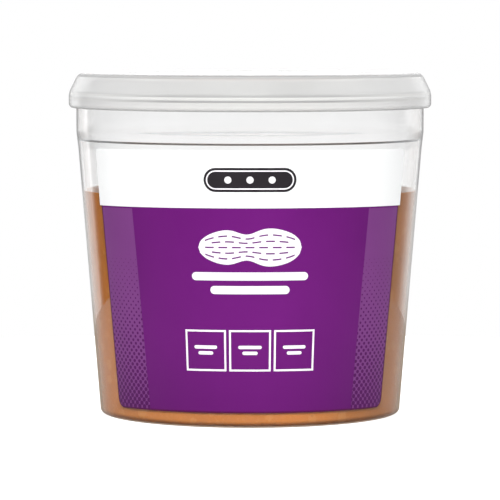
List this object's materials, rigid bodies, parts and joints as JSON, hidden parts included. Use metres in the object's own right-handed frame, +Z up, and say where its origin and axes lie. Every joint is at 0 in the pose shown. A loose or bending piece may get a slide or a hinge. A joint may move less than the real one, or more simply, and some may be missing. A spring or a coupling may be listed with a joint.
{
  "type": "peanut butter tub",
  "caption": "Clear tapered plastic tub with a press-on lid, part filled with peanut butter, with a printed label wrapped round its front. Stands on a flat ring.",
  "frame": {"origin": "centre of the ring that the tub stands on, at the surface that carries it", "axes": "+Z up along the tub's axis; the label faces -Y"},
  "size_m": [0.1372, 0.1372, 0.1291],
  "materials": {
    "tub": "clear injection-moulded polypropylene, faintly grey, glossy",
    "lid": "translucent polypropylene, pale grey, satin",
    "peanut_butter": "thick tan paste with chopped nut pieces, slightly oily",
    "label": "printed plastic film, purple, satin",
    "label_white": "printed plastic film, white, satin",
    "peanut_pieces": "chopped roasted peanuts coated in paste"
  },
  "bodies": {
    "root": {"tub": "tub", "lid": "lid", "peanut_butter": "peanut_butter", "label": "label"}
  },
  "joints": []
}
